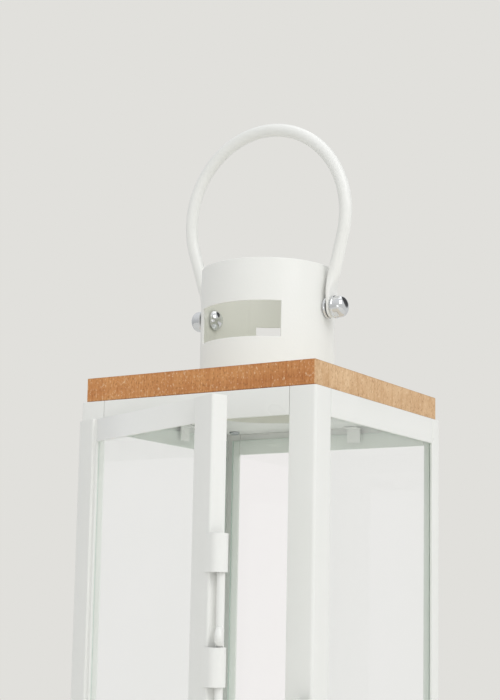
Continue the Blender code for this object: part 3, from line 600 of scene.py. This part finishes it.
# ---- Pivot bolts, washers and cap nuts -------------------------------------------------------
# Turned and chrome-plated steel.  A dome-head bolt comes from inside the chimney, through a thick
# washer and the bail's tab, into a domed cap nut.
def bright_chrome():
    """Decorative chrome on polished steel: a near mirror, softened by fine handling haze."""
    made = bpy.data.materials.new("polished_chrome_plate")
    made.use_nodes = True
    tree = made.node_tree
    shader = tree.nodes["Principled BSDF"]
    spot = add(tree, "ShaderNodeTexCoord").outputs["Object"]
    haze = add(tree, "ShaderNodeTexNoise", [("Vector", spot), ("Scale", 350.0), ("Detail", 4.0)]).outputs[0]
    tint = add(tree, "ShaderNodeMix", [("Factor", haze), ("A", linear("D6D8DA")), ("B", linear("E6E7E8"))],
               data_type="RGBA")
    rough = add(tree, "ShaderNodeMapRange", [(0, haze), (1, 0.35), (2, 0.7), (3, 0.05), (4, 0.16)])
    bump = add(tree, "ShaderNodeBump", [("Height", haze), ("Strength", 0.12), ("Distance", 0.0004)])
    tree.links.new(tint.outputs["Result"], shader.inputs["Base Color"])
    tree.links.new(rough.outputs[0], shader.inputs["Roughness"])
    tree.links.new(bump.outputs[0], shader.inputs["Normal"])
    shader.inputs["Metallic"].default_value = 1.0
    return made


CHROME = bright_chrome()


def turned(name, profile, sign, finish, loop=False):
    """A turned piece on the bail's pivot line: profile point (r, h) goes round that line at a
    distance h from the chimney's middle."""
    profile = np.array(profile, float)
    a = np.linspace(0, 2 * np.pi, 48, endpoint=False)
    r, h = profile[:, :1], profile[:, 1:]
    rings = np.stack([sign * (h + 0 * a), r * np.cos(a), PIVOT_Z + r * np.sin(a)], axis=-1)
    return skin(name, rings, finish, loop=loop, crease=40.0)


def dome(radius, crown, base, height, steps=9):
    """Profile points of a dome: r = radius cos t, h = base + height sin t."""
    t = np.linspace(0, np.pi / 2, steps)[:-1]
    points = np.column_stack([crown + (radius - crown) * np.cos(t), base + height * np.sin(t)])
    return points.tolist() + [(crown * 0.5, base + height)]


HEAD_RADIUS = 0.0062
SHANK_RADIUS = 0.0029
WASHER_RADIUS = 0.0064
NUT_RADIUS = 0.0066
NUT_LENGTH = 0.0082
NUT_BORE = 0.0033
NUT_BLIND = 0.0055


def fit_pivots():
    """The same set on both sides, mirrored."""
    seat = TUBE_RADIUS - TUBE_WALL - 0.0009
    tip = TAB_X + 0.0065
    tab_in = TAB_X - TAB_THICK / 2 - JOINT
    tab_out = TAB_X + TAB_THICK / 2 + JOINT
    for side, sign in (("right", 1), ("left", -1)):
        head = [(0.0001, seat - 0.0041), (0.0024, seat - 0.0039), (0.0040, seat - 0.0033),
                (0.0052, seat - 0.0023), (0.0059, seat - 0.0011), (HEAD_RADIUS, seat - 0.0003),
                (HEAD_RADIUS, seat), (SHANK_RADIUS, seat), (SHANK_RADIUS, tip - 0.0005),
                (SHANK_RADIUS - 0.0005, tip), (0.0001, tip)]
        bolt = turned("dome_bolt_" + side, head, sign, CHROME)
        settle(bolt, "frame", "pivot_bolt_" + side)
        low = TUBE_RADIUS + 0.0002
        ring = [(0.0034, low), (WASHER_RADIUS - 0.0004, low), (WASHER_RADIUS, low + 0.0003),
                (WASHER_RADIUS, tab_in - 0.0004), (WASHER_RADIUS - 0.0003, tab_in), (0.0034, tab_in)]
        washer = turned("thick_washer_" + side, ring, sign, CHROME, loop=True)
        settle(washer, "frame", "pivot_washer_" + side)
        cap = [(0.0001, tab_out + NUT_BLIND), (NUT_BORE, tab_out + NUT_BLIND), (NUT_BORE, tab_out),
               (NUT_RADIUS - 0.0003, tab_out), (NUT_RADIUS, tab_out + 0.0003),
               (NUT_RADIUS, tab_out + 0.0012), (NUT_RADIUS - 0.0003, tab_out + 0.0015)]
        cap += dome(NUT_RADIUS - 0.0004, 0.0012, tab_out + NUT_LENGTH - 0.0040, 0.0040)
        cap.append((0.0001, tab_out + NUT_LENGTH))
        nut = turned("cap_nut_domed_" + side, cap, sign, CHROME)
        settle(nut, "frame", "cap_nut_" + side)


fit_pivots()


# ---- Glass panes -----------------------------------------------------------------------------
# 2 mm float glass, cut and with its sharp edges dulled by a stone.  Three fixed panes stand in
# the frame and one lies in the door.  The cut edges look sea green because light runs along
# the sheet inside them.
PANE = 0.002
PANE_HALF = 0.0705
PANE_LOW = 0.0036
PANE_HIGH = 0.2802


def float_glass():
    """Clear float glass: mirrors a little, bends little, and tints what is seen through it
    faintly green.  Lamps and walls light what is behind it, so it throws no shadow."""
    made = bpy.data.materials.new("clear_float_glass")
    made.use_nodes = True
    tree = made.node_tree
    shader = tree.nodes["Principled BSDF"]
    spot = add(tree, "ShaderNodeTexCoord").outputs["Object"]
    film = add(tree, "ShaderNodeTexNoise", [("Vector", spot), ("Scale", 18.0), ("Detail", 3.0)]).outputs[0]
    tint = add(tree, "ShaderNodeMix", [("Factor", film), ("A", linear("F8FBF9")), ("B", linear("FAFCFB"))],
               data_type="RGBA")
    tree.links.new(tint.outputs["Result"], shader.inputs["Base Color"])
    shader.inputs["Transmission Weight"].default_value = 1.0
    shader.inputs["IOR"].default_value = 1.5
    shader.inputs["Roughness"].default_value = 0.0
    clear = add(tree, "ShaderNodeBsdfTransparent", [("Color", linear("FEFFFE"))]).outputs[0]
    path = add(tree, "ShaderNodeLightPath").outputs
    lit = add(tree, "ShaderNodeMath", [(0, path["Is Shadow Ray"]), (1, path["Is Diffuse Ray"])],
              operation="MAXIMUM").outputs[0]
    whole = add(tree, "ShaderNodeMixShader", [(0, lit), (1, shader.outputs[0]), (2, clear)]).outputs[0]
    tree.links.new(whole, tree.nodes["Material Output"].inputs["Surface"])
    return made


def stoned_edge():
    """The pane's dulled edge: frosted sea green, darker where the stone bit less."""
    made = bpy.data.materials.new("stoned_glass_edge")
    made.use_nodes = True
    tree = made.node_tree
    shader = tree.nodes["Principled BSDF"]
    spot = add(tree, "ShaderNodeTexCoord").outputs["Object"]
    grit = add(tree, "ShaderNodeTexNoise", [("Vector", spot), ("Scale", 900.0), ("Detail", 2.0)]).outputs[0]
    green = add(tree, "ShaderNodeMix", [("Factor", grit), ("A", linear("B4C8BE")), ("B", linear("D2DFD8"))],
                data_type="RGBA")
    tree.links.new(green.outputs["Result"], shader.inputs["Base Color"])
    shader.inputs["Roughness"].default_value = 0.45
    return made


GLASS = float_glass()
EDGE = stoned_edge()


def pane(name, base, across, inward, low, high):
    """A sheet: its outline across by height is filled front and back, PANE apart, with its four
    edges in the edge finish."""
    base, across, inward = (np.array(v, float) for v in (base, across, inward))
    loop = np.array([(-1, low), (1, low), (1, high), (-1, high)])
    section = base + loop[:, :1] * across + loop[:, 1:] * np.array((0, 0, 1))
    sheet = skin(name, [section, section + PANE * inward], GLASS, crease=20.0)
    sheet.data.materials.append(EDGE)
    for face in sheet.data.polygons[:4]:
        face.material_index = 1
    return sheet


def glaze_frame():
    """One pane inside the posts on the right, the back and the left."""
    outer = HALF - WALL - JOINT
    for side, turn in (("right", 0), ("back", 90), ("left", 180)):
        c, s = quarter(turn)
        sheet = pane("glass_" + side, (outer * c, outer * s, 0), (-PANE_HALF * s, PANE_HALF * c, 0),
                     (-c, -s, 0), PANE_LOW, PANE_HIGH)
        settle(sheet, "frame", "pane_" + side)


glaze_frame()


# ---- Door ------------------------------------------------------------------------------------
# Two folded steel stiles stand a little proud of the flat rails between them, all welded and
# coated like the frame.  A pane lies behind the rails and a thin lip, held by four bent clips.
# The door hangs on its left and stands open.
PIN = np.array((-0.0668, -0.081))
OPEN = math.radians(-23.5)
DOOR_HALF = 0.069
DOOR_FRONT = -0.087
DOOR_BACK = -0.078
DOOR_LOW = 0.0126
DOOR_HIGH = BODY_HEIGHT - 0.0126
STILE = 0.016
RAIL_BACK = 0.0018
DOOR_RAIL = 0.0125
LIP = 0.002
REBATE = 0.0045


def swung(points):
    """Points of the shut door turned with it about the hinge pins: each is the pin plus its
    offset turned by the opening angle."""
    points = np.array(points, float)
    c, s = math.cos(OPEN), math.sin(OPEN)
    off = points[..., :2] - PIN
    turned_off = np.stack([off[..., 0] * c - off[..., 1] * s, off[..., 0] * s + off[..., 1] * c], axis=-1)
    points[..., :2] = PIN + turned_off
    return points


def door_bar(name, outline, low, high, edge=0.0003):
    """An upright bar of the door: its outline in the shut door's XY plane, from low to high."""
    section = [np.column_stack([outline, np.full(len(outline), z)]) for z in (low, high)]
    return skin(name, swung(section), SATIN_WHITE, edge=edge)


def fold_stiles():
    """A solid-looking upright with a bent outer edge, and the glazing lip behind its face."""
    inner = DOOR_HALF - STILE
    lip = DOOR_FRONT + RAIL_BACK
    corners = np.array([(inner, DOOR_BACK), (inner, lip + WALL), (inner - LIP, lip + WALL),
                        (inner - LIP, lip), (inner, lip), (inner, DOOR_FRONT), (DOOR_HALF, DOOR_FRONT),
                        (DOOR_HALF, DOOR_BACK)])
    radii = [0.0004, 0.0002, 0.0004, 0.0004, 0.0002, 0.0007, 0.0014, 0.0010]
    for name, mirror in (("free", 1), ("hinge", -1)):
        stile = door_bar("stile_" + name, rounded(corners * (mirror, 1), radii, 6), DOOR_LOW, DOOR_HIGH)
        settle(stile, "door", "door_stile_" + name)


def weld_door_rails():
    """Flat strips behind the stiles' faces, at the top and the bottom."""
    front = DOOR_FRONT + RAIL_BACK
    reach = DOOR_HALF - STILE - LIP - JOINT
    corners = [(-reach, front), (reach, front), (reach, front + WALL), (-reach, front + WALL)]
    for name, low in (("top", DOOR_HIGH - DOOR_RAIL), ("bottom", DOOR_LOW)):
        rail = door_bar("door_strip_" + name, rounded(corners, 0.0001, 3), low, low + DOOR_RAIL)
        settle(rail, "door", "door_rail_" + name)


def glaze_door():
    """The door's pane, a rebate inside the rails' outer edges."""
    seat = DOOR_FRONT + RAIL_BACK + WALL + JOINT
    side = DOOR_HALF - STILE - JOINT
    c, s = math.cos(OPEN), math.sin(OPEN)
    base = swung([(0.0, seat, 0.0)])[0]
    sheet = pane("glass_door", base, (side * c, side * s, 0), (-s, c, 0), DOOR_LOW + REBATE,
                 DOOR_HIGH - REBATE)
    settle(sheet, "door", "door_pane")


fold_stiles()
weld_door_rails()
glaze_door()


# ---- Latch -----------------------------------------------------------------------------------
# A 4 mm wire bolt with a pressed thumb lug slides in two straps bent round the door's free edge.
# When the door is shut the wire drops into a U-shaped keeper on the right post.  All of it is
# bent mild steel, spot-welded and coated with the rest.
STRAP = 0.0008
SLEEVE = 0.0186
SLEEVE_Z = {"upper": BODY_HEIGHT - 0.0894, "lower": BODY_HEIGHT - 0.1433}
LOOP = 0.0043
KEEPER_LOOP = 0.0035
KEEPER_TOP = BODY_HEIGHT - 0.160
WIRE = 0.002
WIRE_X = DOOR_HALF + 0.0034
WIRE_Y = DOOR_FRONT + 0.0049
WIRE_TOP = BODY_HEIGHT - 0.083
WIRE_TIP = BODY_HEIGHT - 0.175
LUG_HALF = 0.0046
LUG_REACH = 0.0060
LUG_TURN = math.radians(-38)


def strap_outline(path):
    """The outline of a bent strap: its path moved half a thickness to each side, there and
    back."""
    path = np.array(path, float)
    along = np.gradient(path, axis=0)
    aside = np.column_stack([-along[:, 1], along[:, 0]])
    aside *= STRAP / 2 / np.linalg.norm(aside, axis=1, keepdims=True)
    return np.concatenate([path + aside, (path - aside)[::-1]])


def bend_sleeves():
    """A flat foot on the stile's face, a half-round nose past its edge and a return leg."""
    a = np.linspace(-np.pi / 2, np.pi / 2, 25)
    nose = np.column_stack([LOOP * np.cos(a), LOOP * np.sin(a)])
    path = np.concatenate([[(-0.0056, -LOOP), (-0.0028, -LOOP)], nose, [(-0.0012, LOOP), (-0.0023, LOOP)]])
    path += (DOOR_HALF + 0.0026, DOOR_FRONT - STRAP / 2 - JOINT + LOOP)
    for row, middle in SLEEVE_Z.items():
        sleeve = door_bar("strap_sleeve_" + row, strap_outline(path), middle - SLEEVE / 2,
                          middle + SLEEVE / 2, edge=0.0002)
        settle(sleeve, "door", "latch_sleeve_" + row)


def draw_wire():
    """Rings down the wire.  At the thumb lug the radius grows on one side by
    lobe(z) max(0, cos(a - a0))^6, where the lobe is half an ellipse 9.2 mm tall."""
    lug_middle = SLEEVE_Z["lower"] + SLEEVE / 2 + JOINT + LUG_HALF
    ends = WIRE_TOP - np.array([0.0, 0.0001, 0.0004])
    tip = WIRE_TIP + np.array([0.0015, 0.0008, 0.0003, 0.0])
    lug = lug_middle + LUG_HALF * np.cos(np.linspace(0, np.pi, 25))
    z = np.concatenate([ends, [WIRE_TOP - 0.02], lug, [WIRE_TIP + 0.02], tip])
    radius = np.full(len(z), WIRE)
    radius[:3] = WIRE - np.array([0.0006, 0.0003, 0.0])
    radius[-3:] = WIRE - np.array([0.0003, 0.0008, 0.0012])
    lobe = LUG_REACH * np.sqrt(np.clip(1 - ((z - lug_middle) / LUG_HALF) ** 2, 0, 1))
    a = np.linspace(0, 2 * np.pi, 40, endpoint=False)
    grown = radius[:, None] + lobe[:, None] * np.maximum(0, np.cos(a - LUG_TURN)) ** 6
    rings = np.stack([WIRE_X + grown * np.cos(a), WIRE_Y + grown * np.sin(a), z[:, None] + 0 * a], axis=-1)
    bolt = skin("wire_bolt", swung(rings), SATIN_WHITE, crease=60.0)
    settle(bolt, "latch_bolt", "latch_bolt")


def bend_keeper():
    """A U that stands on the post's face: two short legs and a half-round nose."""
    a = np.linspace(np.pi, 2 * np.pi, 27)
    back = -HALF - JOINT - WIRE_Y
    nose = np.column_stack([KEEPER_LOOP * np.cos(a), KEEPER_LOOP * np.sin(a)])
    path = np.concatenate([[(-KEEPER_LOOP, back), (-KEEPER_LOOP, back / 2)], nose,
                           [(KEEPER_LOOP, back / 2), (KEEPER_LOOP, back)]])
    path += (DOOR_HALF + JOINT + STRAP / 2 + KEEPER_LOOP, WIRE_Y)
    outline = strap_outline(path)
    section = [np.column_stack([outline, np.full(len(outline), z)])
               for z in (KEEPER_TOP - SLEEVE, KEEPER_TOP)]
    keeper = skin("strap_keeper", section, SATIN_WHITE, edge=0.0002)
    settle(keeper, "frame", "latch_keeper")


bend_sleeves()
draw_wire()
bend_keeper()
